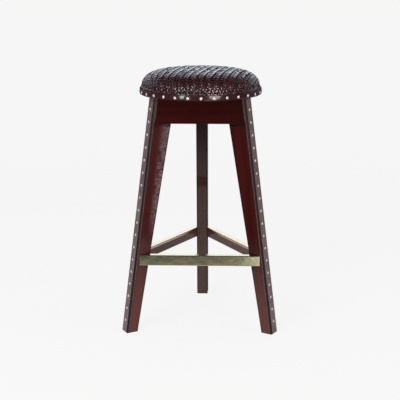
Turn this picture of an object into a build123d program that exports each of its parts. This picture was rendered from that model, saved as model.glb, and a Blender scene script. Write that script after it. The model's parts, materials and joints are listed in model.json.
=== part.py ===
from build123d import *
import os
from math import asin, atan, cos, degrees, radians, sin, tan

os.makedirs("parts", exist_ok=True)

# A round bar stool on three splayed plank legs. It stands on the floor at Z = 0, its axis
# is the Z axis and its front faces -Y. Lengths are in millimetres, angles in degrees.

# Whole stool. Its legs are evenly set round the axis, and each side faces away from a leg.
overall_height = 762.0
seat_depth = 69.2
half_turn_angle = 180
leg_spacing_angle = 120
rear_angle = 90
leg_angles = {
    "front_left": rear_angle + leg_spacing_angle,
    "front_right": rear_angle - leg_spacing_angle,
    "rear": rear_angle,
}
side_angles = {
    "front": leg_angles["rear"] + half_turn_angle,
    "rear_left": leg_angles["front_right"] + half_turn_angle,
    "rear_right": leg_angles["front_left"] + half_turn_angle,
}

# Seat board, foam and woven cover
board_radius = 172.0
board_thickness = 18.0
cover_thickness = 3.0
soft_gap = 0.3
side_rise = 26.0
side_draw = 4.0
crown_width_power = 0.378
crown_height_power = 1.09
crown_steps = 12
crown_spacing_power = 1.8

# Leather band round the seat
band_height = 17.0
band_thickness = 1.4
band_edge_round = 0.7

# Dome nails of the band and of the legs
seat_nail_count = 30
seat_nail_height = 8.0
seat_nail_turn = 2.0
leg_nail_count = 18
nail_head_diameter = 9.5
nail_head_height = 2.4
nail_shank_diameter = 1.8
nail_length = 13.0
nail_bore_gap = 0.05
nail_point_gap = 0.5

# Legs: planks that stand on edge, each in a plane through the stool's axis
leg_thickness = 34.0
leg_foot_radius = 254.7
leg_top_radius = 155.8
leg_foot_width = 34.0
leg_top_width = 65.1
leg_edge_round = 1.0
leg_corner_round = 2.5

# Leather strip on the outer edge of each leg
strip_thickness = 1.2
strip_lip = 6.0
strip_floor_gap = 1.0

# Apron boards under the seat
apron_set_in = 9.0
apron_thickness = 20.0
apron_height = 77.6
apron_edge_round = 2.2

# Foot rails, each under a bent brass plate
rail_set_in = 13.4
rail_thickness = 18.0
rail_height = 29.0
front_rail_bottom = 203.6
rear_rail_bottom = 207.3
rail_edge_round = 1.6
plate_thickness = 1.0
plate_inner_lip = 4.5
plate_lower_lip = 7.0
plate_end_gap = 0.4

# Pins that hold the plates from below
pin_count = 3
pin_spacing = 110.0
pin_inset = 4.0
pin_head_diameter = 3.2
pin_head_height = 0.8
pin_shank_diameter = 1.2
pin_length = 9.0

# Dowels between the boards and the legs
apron_dowel_diameter = 8.0
apron_dowel_length = 40.0
apron_dowel_spacing = 38.0
rail_dowel_diameter = 7.0
rail_dowel_length = 36.0
rail_dowel_spacing = 13.0
glue_gap = 0.1
dowel_end_gap = 1.0

# Cleats that join the aprons to the seat board, with their screws
cleat_width = 20.0
cleat_height = 22.0
cleat_end_gap = 30.0
board_screw_inset = 34.0
apron_screw_inset = 14.0
screw_diameter = 4.0
screw_head_diameter = 8.0
screw_head_height = 2.4
screw_length = 33.0
screw_bore_gap = 0.1
screw_point_height = 4.0

# How far a cutting shape runs past what it cuts
overrun = 5.0

seat_underside = overall_height - seat_depth
board_top = seat_underside + board_thickness
skirt_radius = board_radius + soft_gap + cover_thickness
band_outer_radius = skirt_radius + soft_gap + band_thickness
crown_radius = skirt_radius - side_draw
crown_base = seat_underside + side_rise
splay = degrees(atan((leg_foot_radius - leg_top_radius) / seat_underside))
strip_reach = strip_thickness / cos(radians(splay))


def turned(shape, direction):
    """Turn a shape from the +X direction to a direction about the stool's axis."""
    return Rot(0, 0, direction) * shape


def upright_cylinder(radius, bottom, height):
    """A cylinder on the Z axis, standing on the given height."""
    return Pos(0, 0, bottom + height / 2) * Cylinder(radius, height)


def leg_face_at(height):
    """Radius of a leg's outer wooden face at a height above the floor."""
    return leg_foot_radius - height * tan(radians(splay))


def solid_of_revolution(face, axis):
    """Revolve a face right round an axis, the solid's faces turned outwards."""
    solid = revolve(face, axis).solid()
    if solid.volume < 0:
        solid = revolve(-face, axis).solid()
    return solid


# Seat

def crown_points(inset):
    """Points on the crown: r = R cos(t)^a and z = base + H sin(t)^b, t from 0 to 90 degrees."""
    radius = crown_radius - inset
    rise = overall_height - inset - crown_base
    points = []
    for step in range(crown_steps + 1):
        share_left = (1 - step / crown_steps) ** crown_spacing_power
        angle = radians(90 * (1 - share_left))
        across = radius * max(cos(angle), 0) ** crown_width_power
        up = rise * sin(angle) ** crown_height_power
        points.append((across if step < crown_steps else 0, 0, crown_base + up))
    return points


def side_corners(inset):
    """Corners of the seat's side, from its lower edge up to the foot of the crown."""
    radius = skirt_radius - inset
    return [
        (radius, 0, seat_underside),
        (radius, 0, board_top),
        crown_points(inset)[0],
    ]


def crown_line(inset):
    """The crown's curve, upright at its foot and level at its top."""
    return Spline(*crown_points(inset), tangents=((0, 0, 1), (-1, 0, 0)))


def foam_form():
    """The foam: the seat's inner form down to the board's top."""
    inset = cover_thickness + soft_gap
    foot = crown_points(inset)[0]
    side = Polyline(
        (0, 0, overall_height - inset),
        (0, 0, board_top),
        (skirt_radius - inset, 0, board_top),
        foot,
    )
    return solid_of_revolution(make_face([side, crown_line(inset)]), Axis.Z)


def cover_form():
    """The woven cover: a skirt round the board's edge that closes over the foam."""
    outer = side_corners(0)
    inner = side_corners(cover_thickness)
    skirt = Polyline(*reversed(inner), *outer)
    middle = Line((0, 0, overall_height), (0, 0, overall_height - cover_thickness))
    section = make_face([skirt, crown_line(0), middle, crown_line(cover_thickness)])
    return solid_of_revolution(section, Axis.Z)


def band_form():
    """The leather band as a ring with its outer edges rounded."""
    ring = upright_cylinder(band_outer_radius, seat_underside, band_height)
    rims = ring.edges().filter_by(GeomType.CIRCLE)
    ring = fillet(rims, band_edge_round)
    bore = upright_cylinder(
        skirt_radius + soft_gap, seat_underside - overrun, band_height + overrun + overrun
    )
    return ring - bore


# Nails, pins and screws: each is modelled along +X with the underside of its head at X = 0

def round_piece(points):
    """Revolve an outline of (x, radius) corners about the X axis."""
    corners = [(x, 0, radius) for x, radius in points]
    return solid_of_revolution(make_face(Polyline(*corners, close=True)), Axis.X)


def dome_nail():
    """A nail with a domed head that stands out along +X."""
    head_radius = nail_head_diameter / 2
    shank_radius = nail_shank_diameter / 2
    ball_radius = (head_radius**2 + nail_head_height**2) / (2 * nail_head_height)
    half_angle = asin(head_radius / ball_radius) / 2
    ball_centre = nail_head_height - ball_radius
    middle = (ball_centre + ball_radius * cos(half_angle), 0, ball_radius * sin(half_angle))
    dome = ThreePointArc((0, 0, head_radius), middle, (nail_head_height, 0, 0))
    outline = Polyline(
        (nail_head_height, 0, 0),
        (-nail_length, 0, 0),
        (nail_shank_diameter - nail_length, 0, shank_radius),
        (0, 0, shank_radius),
        (0, 0, head_radius),
    )
    return solid_of_revolution(make_face([dome, outline]), Axis.X)


def nail_bore():
    """The hole that a nail makes, with a little room at its point."""
    depth = nail_length + nail_point_gap
    radius = nail_shank_diameter / 2 + nail_bore_gap
    return Pos((overrun - depth) / 2, 0, 0) * Rot(0, 90, 0) * Cylinder(radius, depth + overrun)


def flat_pin():
    """A small pin with a flat head."""
    head_radius = pin_head_diameter / 2
    shank_radius = pin_shank_diameter / 2
    return round_piece([
        (pin_head_height, 0),
        (pin_head_height, head_radius),
        (0, head_radius),
        (0, shank_radius),
        (pin_head_diameter / 2 - pin_length, shank_radius),
        (-pin_length, 0),
    ])


def pin_bore():
    """The hole that a pin makes."""
    depth = pin_length + nail_point_gap
    radius = pin_shank_diameter / 2 + nail_bore_gap
    return Pos((overrun - depth) / 2, 0, 0) * Rot(0, 90, 0) * Cylinder(radius, depth + overrun)


def countersunk_screw():
    """A countersunk wood screw with its flat head's top at X = 0."""
    head_radius = screw_head_diameter / 2
    shank_radius = screw_diameter / 2
    return round_piece([
        (0, 0),
        (0, head_radius),
        (-screw_head_height, shank_radius),
        (screw_point_height - screw_length, shank_radius),
        (-screw_length, 0),
    ])


def screw_bore():
    """The hole and countersink for a screw."""
    head_radius = screw_head_diameter / 2 + screw_bore_gap
    shank_radius = screw_diameter / 2 + screw_bore_gap
    depth = screw_length + nail_point_gap
    return round_piece([
        (overrun, 0),
        (overrun, head_radius),
        (0, head_radius),
        (-screw_head_height, shank_radius),
        (-depth, shank_radius),
        (-depth, 0),
    ])


def seat_nail_places():
    """Where each band nail's head meets the band, the first one a little past the front."""
    height = seat_underside + seat_nail_height
    spots = []
    for nail in range(seat_nail_count):
        direction = side_angles["front"] + seat_nail_turn + 360 * nail / seat_nail_count
        spots.append(Rot(0, 0, direction) * Pos(band_outer_radius, 0, height))
    return spots


def leg_nail_places(direction):
    """Where each nail's head meets a leg's leather strip, evenly spaced down the leg."""
    spots = []
    for nail in range(leg_nail_count):
        height = seat_underside * (nail + 1) / (leg_nail_count + 1)
        reach = leg_face_at(height) + strip_reach
        spots.append(Rot(0, 0, direction) * Pos(reach, 0, height) * Rot(0, -splay, 0))
    return spots


# Legs

def leg_prism(outer_shift, width_at_foot, width_at_top, thickness, bottom, top):
    """A tapered plank between two heights, its outer face moved out by a shift."""
    def outer(height):
        return leg_face_at(height) + outer_shift

    def inner(height):
        share = height / seat_underside
        return outer(height) - width_at_foot * (1 - share) - width_at_top * share

    corners = [
        (inner(bottom), 0, bottom),
        (outer(bottom), 0, bottom),
        (outer(top), 0, top),
        (inner(top), 0, top),
    ]
    return extrude(make_face(Polyline(*corners, close=True)), thickness / 2, (0, 1, 0), both=True)


def rounded_edges(plank, which, radius):
    """A plank with its inner (0) or outer (-1) pair of long edges rounded."""
    long_edges = plank.edges().filter_by(lambda edge: edge.length > seat_underside - overrun)
    return fillet(long_edges.group_by(Axis.X)[which], radius)


def leg_form():
    """The bare plank, rounded where the leather goes round its outer corners, eased inside."""
    plank = leg_prism(0, leg_foot_width, leg_top_width, leg_thickness, 0, seat_underside)
    return rounded_edges(rounded_edges(plank, -1, leg_corner_round), 0, leg_edge_round)


def strip_form():
    """The leather strip: over the outer edge and a little way round both corners."""
    reach = strip_lip + strip_reach
    width = leg_thickness + 2 * strip_thickness
    block = leg_prism(strip_reach, reach, reach, width, strip_floor_gap, seat_underside)
    block = rounded_edges(block, -1, leg_corner_round + strip_thickness)
    core = leg_prism(0, reach + overrun, reach + overrun, leg_thickness, 0, seat_underside)
    return block - rounded_edges(core, -1, leg_corner_round)


# Boards between the legs, modelled with +X pointing away from the stool's axis. A board's
# outer corners stand inside the legs' outer faces by its set-in.

def face_distance(corner_radius):
    """How far a board's outer face is from the axis, from the radius of its corners along a leg."""
    half_spacing = radians(leg_spacing_angle / 2)
    return (corner_radius + leg_thickness * sin(half_spacing)) * cos(half_spacing)


apron_face = face_distance(leg_top_radius - apron_set_in)
rail_face = face_distance(leg_face_at(front_rail_bottom + rail_height / 2) - rail_set_in)


def half_length(distance):
    """Half the length of a board between two legs, at a distance from the axis."""
    half_spacing = radians(leg_spacing_angle / 2)
    return distance * tan(half_spacing) - leg_thickness / 2 / cos(half_spacing)


def space_between_legs(inner, outer, bottom, top, gap):
    """The space that a board can fill between the side faces of two legs."""
    near = half_length(inner) - gap
    far = half_length(outer) - gap
    corners = [(inner, -near), (outer, -far), (outer, far), (inner, near)]
    outline = make_face(Polyline(*corners, close=True))
    return Pos(0, 0, bottom) * extrude(outline, top - bottom)


def eased_bar(inner, outer, bottom, top, edge_round):
    """A long bar along Y with its four long edges rounded."""
    length = 2 * half_length(outer)
    centre = Pos((inner + outer) / 2, 0, (bottom + top) / 2)
    bar = centre * Box(outer - inner, length, top - bottom)
    return fillet(bar.edges().filter_by(Axis.Y), edge_round)


def apron_form():
    """An apron board, cut at its ends to the side faces of the legs."""
    inner = apron_face - apron_thickness
    bottom = seat_underside - apron_height
    bar = eased_bar(inner, apron_face, bottom, seat_underside, apron_edge_round)
    return bar & space_between_legs(inner, apron_face, bottom, seat_underside, 0)


def rail_form(bottom):
    """A wooden foot rail, cut at its ends to the side faces of the legs."""
    inner = rail_face - rail_thickness
    bar = eased_bar(inner, rail_face, bottom, bottom + rail_height, rail_edge_round)
    return bar & space_between_legs(inner, rail_face, bottom, bottom + rail_height, 0)


def plate_form(bottom):
    """The brass plate: a lip inside, over the top, down the face and a lip underneath."""
    inner = rail_face - rail_thickness
    top = bottom + rail_height
    low = bottom - plate_thickness
    high = top + plate_thickness
    near = inner - plate_thickness
    far = rail_face + plate_thickness
    sheet = eased_bar(near, far, low, high, rail_edge_round + plate_thickness)
    sheet = sheet - eased_bar(inner, rail_face, bottom, top, rail_edge_round)
    open_height = high - plate_thickness - plate_inner_lip - low + overrun
    open_width = far - plate_thickness - plate_lower_lip - near + overrun
    opening = Pos(
        near - overrun + open_width / 2, 0, low - overrun + open_height / 2
    ) * Box(open_width, 2 * half_length(far) + overrun, open_height)
    sheet = sheet - opening
    return sheet & space_between_legs(near, far, low, high, plate_end_gap)


def dowel_places(distance, centre_height, spacing):
    """Where the two dowels at each end of a board cross the legs' side faces."""
    places = []
    for end in (-1, 1):
        for level in (-1, 1):
            along = end * half_length(distance)
            up = centre_height + level * spacing / 2
            places.append(Pos(distance, along, up) * Rot(90, 0, 0))
    return places


def dowels(distance, centre_height, spacing, diameter, length):
    """The dowels of one board, in line with the board."""
    rod = Cylinder(diameter / 2, length)
    return [place * rod for place in dowel_places(distance, centre_height, spacing)]


def dowel_bores(distance, centre_height, spacing, diameter, length):
    """The holes for the dowels of one board, with room for glue."""
    hole = Cylinder(diameter / 2 + glue_gap, length + 2 * dowel_end_gap)
    return [place * hole for place in dowel_places(distance, centre_height, spacing)]


apron_middle = apron_face - apron_thickness / 2
apron_level = seat_underside - apron_height / 2
rail_middle = rail_face - rail_thickness / 2
rail_bottoms = {
    "front": front_rail_bottom, "rear_left": rear_rail_bottom, "rear_right": rear_rail_bottom
}


def rail_level(side):
    """The height of a rail's middle."""
    return rail_bottoms[side] + rail_height / 2


# Cleats and screws

cleat_face = apron_face - apron_thickness
cleat_middle = cleat_face - cleat_width / 2
cleat_bottom = seat_underside - cleat_height
cleat_length = 2 * (half_length(cleat_face) - cleat_end_gap)


def cleat_form():
    """A batten against the apron's inner face and the seat board's underside."""
    block = Box(cleat_width, cleat_length, cleat_height)
    return Pos(cleat_middle, 0, seat_underside - cleat_height / 2) * block


def board_screw_places():
    """Screws that go up through a cleat into the seat board."""
    along = cleat_length / 2 - board_screw_inset
    return [
        Pos(cleat_middle, end * along, cleat_bottom) * Rot(0, 90, 0)
        for end in (-1, 1)
    ]


def apron_screw_places():
    """Screws that go out through a cleat into its apron, outside those that go up."""
    along = cleat_length / 2 - apron_screw_inset
    return [
        Pos(cleat_face - cleat_width, end * along, seat_underside - cleat_height / 2)
        * Rot(0, 180, 0)
        for end in (-1, 1)
    ]


def pin_places(bottom):
    """Pins that go up through the plate's lower lip into the rail."""
    places = []
    for pin in range(pin_count):
        along = (pin - (pin_count - 1) / 2) * pin_spacing
        places.append(Pos(rail_face - pin_inset, along, bottom - plate_thickness) * Rot(0, 90, 0))
    return places


def at_places(shape, places):
    """A copy of a shape at each place."""
    return [place * shape for place in places]


def save(name, shapes):
    """Write one node's solids to its STEP file."""
    solids = [solid for shape in shapes for solid in shape.solids()]
    export_step(solids[0] if len(solids) == 1 else Compound(children=solids), f"parts/{name}.step")


# Holes that several pieces share

seat_nail_bores = at_places(nail_bore(), seat_nail_places())
leg_nail_bores = {
    name: at_places(nail_bore(), leg_nail_places(direction))
    for name, direction in leg_angles.items()
}
apron_dowel_bores = {
    name: [
        turned(bore, direction)
        for bore in dowel_bores(
            apron_middle, apron_level, apron_dowel_spacing, apron_dowel_diameter, apron_dowel_length
        )
    ]
    for name, direction in side_angles.items()
}
rail_dowel_bores = {
    name: [
        turned(bore, direction)
        for bore in dowel_bores(
            rail_middle, rail_level(name), rail_dowel_spacing, rail_dowel_diameter, rail_dowel_length
        )
    ]
    for name, direction in side_angles.items()
}
board_screw_bores = at_places(screw_bore(), board_screw_places())
apron_screw_bores = at_places(screw_bore(), apron_screw_places())

# Seat pieces

board = upright_cylinder(board_radius, seat_underside, board_thickness)
board = board - seat_nail_bores
board = board - [turned(bore, way) for bore in board_screw_bores for way in side_angles.values()]
save("seat_board", [board])

save("seat_foam", [foam_form()])
save("woven_cover", [cover_form() - seat_nail_bores])
save("seat_binding", [band_form() - seat_nail_bores])
save("seat_nails", at_places(dome_nail(), seat_nail_places()))

# Legs with their leather and nails

for name, direction in leg_angles.items():
    leg = turned(leg_form(), direction) - leg_nail_bores[name]
    for side in side_angles:
        leg = leg - apron_dowel_bores[side] - rail_dowel_bores[side]
    save(f"leg_{name}", [leg])
    save(f"leg_leather_{name}", [turned(strip_form(), direction) - leg_nail_bores[name]])
    save(f"leg_nails_{name}", at_places(dome_nail(), leg_nail_places(direction)))

# Aprons, foot rails, plates and cleats

all_apron_dowels = []
all_rail_dowels = []
all_board_screws = []
all_apron_screws = []
all_pins = []
for name, direction in side_angles.items():
    bottom = rail_bottoms[name]
    apron = turned(apron_form() - apron_screw_bores, direction) - apron_dowel_bores[name]
    save(f"apron_{name}", [apron])
    pin_bores = at_places(pin_bore(), pin_places(bottom))
    rail = turned(rail_form(bottom) - pin_bores, direction) - rail_dowel_bores[name]
    save(f"foot_rail_{name}", [rail])
    save(f"foot_plate_{name}", [turned(plate_form(bottom) - pin_bores, direction)])
    cleat = cleat_form() - board_screw_bores - apron_screw_bores
    save(f"seat_cleat_{name}", [turned(cleat, direction)])
    apron_rods = dowels(
        apron_middle, apron_level, apron_dowel_spacing, apron_dowel_diameter, apron_dowel_length
    )
    rail_rods = dowels(
        rail_middle, rail_level(name), rail_dowel_spacing, rail_dowel_diameter, rail_dowel_length
    )
    all_apron_dowels += [turned(rod, direction) for rod in apron_rods]
    all_rail_dowels += [turned(rod, direction) for rod in rail_rods]
    screw = countersunk_screw()
    all_board_screws += [turned(item, direction) for item in at_places(screw, board_screw_places())]
    all_apron_screws += [turned(item, direction) for item in at_places(screw, apron_screw_places())]
    all_pins += [turned(item, direction) for item in at_places(flat_pin(), pin_places(bottom))]

save("apron_dowels", all_apron_dowels)
save("foot_rail_dowels", all_rail_dowels)
save("seat_screws", all_board_screws)
save("cleat_screws", all_apron_screws)
save("foot_plate_pins", all_pins)
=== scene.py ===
# %% [markdown]
# # A leather bar stool
#
# The stool comes as a solid model, called the frame: legs, boards, brass plates, nails, screws and
# plain stand-ins for its soft parts. This script dresses it. It plaits the seat out of leather
# strips, wraps the band and the legs' edging, gives every surface its finish, and lights it all
# like a small photo studio. Lengths are in metres, +Z is up and the stool's front faces -Y.

# %% Load the frame
import json
from math import cos, pi, radians, sin

import bpy
import numpy as np
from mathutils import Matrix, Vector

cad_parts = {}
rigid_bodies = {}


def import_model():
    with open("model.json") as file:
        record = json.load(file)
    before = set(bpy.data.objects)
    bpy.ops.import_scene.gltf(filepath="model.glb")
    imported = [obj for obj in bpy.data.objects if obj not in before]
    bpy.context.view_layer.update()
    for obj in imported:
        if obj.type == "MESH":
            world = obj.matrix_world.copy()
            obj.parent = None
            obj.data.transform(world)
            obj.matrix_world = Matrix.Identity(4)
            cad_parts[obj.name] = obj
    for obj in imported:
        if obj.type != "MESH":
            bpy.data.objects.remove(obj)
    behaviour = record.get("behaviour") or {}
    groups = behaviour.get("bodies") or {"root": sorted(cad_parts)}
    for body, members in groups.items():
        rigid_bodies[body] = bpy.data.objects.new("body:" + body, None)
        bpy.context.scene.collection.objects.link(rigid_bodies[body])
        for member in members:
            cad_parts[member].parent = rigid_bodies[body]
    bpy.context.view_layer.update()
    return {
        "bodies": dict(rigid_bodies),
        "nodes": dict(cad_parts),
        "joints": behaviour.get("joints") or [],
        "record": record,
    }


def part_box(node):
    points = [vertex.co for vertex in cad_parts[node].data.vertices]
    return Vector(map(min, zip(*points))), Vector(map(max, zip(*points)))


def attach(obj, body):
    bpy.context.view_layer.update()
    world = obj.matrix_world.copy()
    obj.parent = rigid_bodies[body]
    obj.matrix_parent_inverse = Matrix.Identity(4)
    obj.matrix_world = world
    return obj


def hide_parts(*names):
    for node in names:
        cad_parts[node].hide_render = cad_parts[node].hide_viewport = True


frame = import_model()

scene = bpy.context.scene
print("nodes in the frame:", len(frame["nodes"]))

# %% [markdown]
# ## The camera
#
# The picture was taken with a long lens from about three metres away, a little above the seat. A
# fit of the stool's known edges to the picture gave the camera's distance, height, downward pitch
# and focal length in pixels. The stool stands turned by a degree or two, and since its frame never
# moves, the camera goes round it instead.

# %% Place the camera
picture_width = 400
focal_pixels = 1026.7
sensor_width = 36.0
camera_distance = 2.9756
camera_height = 1.1110
camera_pitch = 13.97
stool_turn = 1.6
side_aim = 0.035

camera_data = bpy.data.cameras.new("camera")
camera_data.sensor_width = sensor_width
camera_data.lens = focal_pixels * sensor_width / picture_width
camera = bpy.data.objects.new("camera", camera_data)
scene.collection.objects.link(camera)
camera.location = (
    camera_distance * sin(radians(stool_turn)),
    -camera_distance * cos(radians(stool_turn)),
    camera_height,
)
camera.rotation_euler = (radians(90 - camera_pitch), 0, radians(stool_turn + side_aim))
scene.camera = camera
print("lens in millimetres:", round(camera_data.lens, 1))

# %% [markdown]
# ## From arrays to pieces
#
# Every new piece is worked out as whole numpy arrays: a grid of points and the four-cornered faces
# between them. These helpers turn such a grid into a mesh, smooth its shading, and store where each
# point lies along and across the leather, so that a finish can follow the leather.

# %% Helpers that make a piece
def grid_faces(rings, around, closed=False):
    """Faces of a tube of rings, ring i and point k having the number i * around + k.

    A closed tube joins its last ring to its first. An open one gets both ends closed by a row of
    faces that pair each point of the end ring with the one opposite.
    """
    first = np.arange(rings if closed else rings - 1)[:, None]
    step = np.arange(around)[None, :]
    here, there = first * around, (first + 1) % rings * around
    right = (step + 1) % around
    sides = np.stack([here + step, there + step, there + right, here + right], axis=-1)
    faces = sides.reshape(-1, 4)
    if closed:
        return faces
    low = np.arange(around // 2 - 1)
    start = np.stack([low, low + 1, around - 2 - low, around - 1 - low], axis=-1)
    end = start[:, ::-1] + (rings - 1) * around
    return np.concatenate([faces, start, end])


def make_piece(name, points, faces, material, along=None, across=None, stored=None):
    """A smooth-shaded object, with its leather coordinates and stored values if given."""
    mesh = bpy.data.meshes.new(name)
    mesh.from_pydata(points.reshape(-1, 3).tolist(), [], faces.tolist())
    mesh.polygons.foreach_set("use_smooth", np.ones(len(mesh.polygons), bool))
    if along is not None:
        corners = np.zeros(len(mesh.loops), np.int32)
        mesh.loops.foreach_get("vertex_index", corners)
        flat = np.stack([along.ravel(), across.ravel()], axis=-1)[corners]
        mesh.uv_layers.new(name="leather").data.foreach_set("uv", flat.astype(np.float32).ravel())
    for key, values in (stored or {}).items():
        attribute = mesh.attributes.new(key, "FLOAT", "POINT")
        attribute.data.foreach_set("value", values.astype(np.float32).ravel())
    mesh.update()
    mesh.materials.append(material)
    piece = bpy.data.objects.new(name, mesh)
    scene.collection.objects.link(piece)
    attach(piece, "root")
    print(name, "has", len(mesh.polygons), "faces")
    return piece


def join_grids(parts):
    """Several (points, faces) grids as one, the face numbers shifted past the earlier points."""
    counts = [len(points) for points, faces in parts]
    shifts = np.concatenate([[0], np.cumsum(counts)[:-1]])
    faces = np.concatenate([part[1] + shift for part, shift in zip(parts, shifts)])
    return np.concatenate([part[0] for part in parts]), faces


# %% [markdown]
# ## Short calls for finishes
#
# A finish is a tree of shader nodes. These small classes add a node in one call and hand back the
# socket that the next node reads, so that each finish below is a few lines about its surface. The
# first serves every node tree, also the floor's and the world's, and the second is for materials.

# %% Helpers for node trees
class Nodes:
    """A node tree under construction."""

    def __init__(self, tree):
        self.tree = tree

    def node(self, kind, inputs=None, **settings):
        """Add a node; inputs are numbers, colours or the sockets that feed them."""
        made = self.tree.nodes.new(kind)
        for key, value in settings.items():
            setattr(made, key, value)
        for key, value in (inputs or {}).items():
            self.feed(made.inputs[key], value)
        return made

    def feed(self, socket, value):
        """Give a socket its value, or a link from another socket."""
        if isinstance(value, bpy.types.NodeSocket):
            self.tree.links.new(value, socket)
        else:
            socket.default_value = value

    def ramp(self, value, low, high, bottom=0.0, top=1.0):
        """A value brought from the range low to high into bottom to top, and held there."""
        inputs = {"Value": value, "From Min": low, "From Max": high, "To Min": bottom, "To Max": top}
        made = self.node("ShaderNodeMapRange", inputs, interpolation_type="SMOOTHSTEP")
        return made.outputs[0]

    def maths(self, operation, first, second=0.0):
        """One sum on two values."""
        made = self.node("ShaderNodeMath", operation=operation)
        self.feed(made.inputs[0], first)
        self.feed(made.inputs[1], second)
        return made.outputs[0]

    def product(self, first, *others):
        """Two or more values multiplied."""
        for other in others:
            first = self.maths("MULTIPLY", first, other)
        return first

    def mixed(self, share, first, second):
        """A colour between two, by a share from 0 to 1."""
        made = self.node("ShaderNodeMix", data_type="RGBA")
        self.feed(made.inputs[0], share)
        self.feed(made.inputs[6], first)
        self.feed(made.inputs[7], second)
        return made.outputs[2]

    def blended(self, share, first, second):
        """A blend of two shaders, by a share from 0 to 1."""
        return self.node("ShaderNodeMixShader", {0: share, 1: first, 2: second}).outputs[0]

    def parts(self, where):
        """The X, Y and Z of coordinates or of a direction."""
        return self.node("ShaderNodeSeparateXYZ", {"Vector": where}).outputs


class Finish(Nodes):
    """A material under construction, around one Principled shader."""

    def __init__(self, name):
        self.material = bpy.data.materials.new(name)
        self.material.use_nodes = True
        super().__init__(self.material.node_tree)
        self.shader = self.tree.nodes["Principled BSDF"]
        self.place = self.node("ShaderNodeTexCoord").outputs["Object"]

    def noise(self, where, scale, detail=3.0, roughness=0.55):
        """Soft random values from 0 to 1."""
        values = {"Vector": where, "Scale": scale, "Detail": detail, "Roughness": roughness}
        return self.node("ShaderNodeTexNoise", values).outputs["Fac"]

    def turned(self, where, turn=(0, 0, 0), size=(1, 1, 1)):
        """Coordinates turned about X, Y and Z, then stretched."""
        turned = self.node("ShaderNodeMapping", {"Vector": where, "Rotation": turn})
        return self.node("ShaderNodeMapping", {"Vector": turned.outputs[0], "Scale": size}).outputs[0]

    def stored(self, key):
        """The values that a mesh stores under a name."""
        return self.node("ShaderNodeAttribute", attribute_name=key).outputs["Fac"]

    def from_middle(self):
        """How far a place on the leather is from the middle of its width, as a share of it."""
        across = self.parts(self.node("ShaderNodeUVMap", uv_map="leather").outputs[0])[1]
        return self.maths("ABSOLUTE", self.maths("SUBTRACT", across, 0.5))

    def bumps(self, height, depth, strength=1.0):
        """A bump map on the shader, its depth in metres."""
        inputs = {"Height": height, "Distance": depth, "Strength": strength}
        self.feed(self.shader.inputs["Normal"], self.node("ShaderNodeBump", inputs).outputs[0])

    def set(self, **values):
        """Values of the Principled shader, its names written with _ for a space."""
        for key, value in values.items():
            self.feed(self.shader.inputs[key.replace("_", " ")], value)
        return self.material


# %% [markdown]
# ## Sizes shared by the pieces
#
# The leather pieces stand where the frame's plain stand-ins are, so their sizes are read from the
# boxes of those nodes wherever a box shows them. The rest are the stool's own sizes in metres: the
# width of the legs, the run of the nails and how the seat's crown rounds over.

# %% Read sizes from the frame
cover_low, cover_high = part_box("woven_cover")
band_low, band_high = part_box("seat_binding")
edging_low, edging_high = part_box("leg_leather_rear")
rear_leg_low, rear_leg_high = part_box("leg_rear")
apron_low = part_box("apron_front")[0]

skirt_radius = cover_high.x
seat_top = cover_high.z
seat_underside = cover_low.z
board_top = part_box("seat_board")[1].z
foot_radius = rear_leg_high.y
top_inner_radius = rear_leg_low.y
leg_half_thickness = rear_leg_high.x
edging_thickness = edging_high.x - leg_half_thickness
edging_foot = edging_low.z

soft_gap = 0.0003
leg_top_radius = 0.1558
leg_foot_width = 0.034
foot_inner_radius = foot_radius - leg_foot_width
leg_slope = (foot_radius - leg_top_radius) / seat_underside
leg_directions = {"front_left": 210, "front_right": 330, "rear": 90}
side_directions = {"front": 270, "rear_left": 150, "rear_right": 30}
seat_nail_count = 30
seat_nail_direction = radians(272)
seat_nail_height = seat_underside + 0.008
leg_nail_count = 18
print("seat radius and top:", round(skirt_radius, 4), round(seat_top, 4))
print("lean of the legs in degrees:", round(np.degrees(np.arctan(leg_slope)), 2))

# %% [markdown]
# ## The seat's form
#
# The seat is a round cushion with a nearly flat top that rounds over into an upright side. Its
# outline is one curve from the middle of the top to the lower edge. For plaiting we also need to
# know how far we have walked along it, because a strip of leather keeps its length when it bends
# over the shoulder: a point of the flat plait at a distance from the middle goes to the point of
# the outline at that same walked distance, in the same direction.

# %% The outline of the seat
side_draw = 0.004
side_rise = 0.026
crown_width_power = 0.378
crown_height_power = 1.09
outline_steps = 4000
outline_spacing_power = 5


def seat_outline(inset):
    """Walked length, radius, height and outward normal along the seat's outline.

    The crown is r = R cos(t)^a and z = base + H sin(t)^b for t from 90 to 0 degrees. Below it the
    side goes down to the lower edge while its radius grows by the draw along a smooth S. All is
    then moved inwards by the inset.
    """
    crown_base = seat_underside + side_rise
    steps = np.linspace(0, 1, outline_steps)
    from_top = steps**outline_spacing_power * pi / 2
    crown_radius = (skirt_radius - side_draw) * np.sin(from_top) ** crown_width_power
    crown_height = crown_base + (seat_top - crown_base) * np.cos(from_top) ** crown_height_power
    down = np.linspace(0, 1, outline_steps // 4)[1:]
    side_height = crown_base + (seat_underside - crown_base) * down
    share = np.clip((crown_base - side_height) / (crown_base - board_top), 0, 1)
    side_radius = skirt_radius - side_draw * (1 - share * share * (3 - 2 * share))
    radius = np.concatenate([crown_radius, side_radius])
    height = np.concatenate([crown_height, side_height])
    along_radius, along_height = np.gradient(radius), np.gradient(height)
    length = np.hypot(along_radius, along_height)
    out, up = -along_height / length, along_radius / length
    radius, height = radius - inset * out, height - inset * up
    walked = np.concatenate([[0], np.cumsum(np.hypot(np.diff(radius), np.diff(height)))])
    return walked, radius, height, out, up


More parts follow.
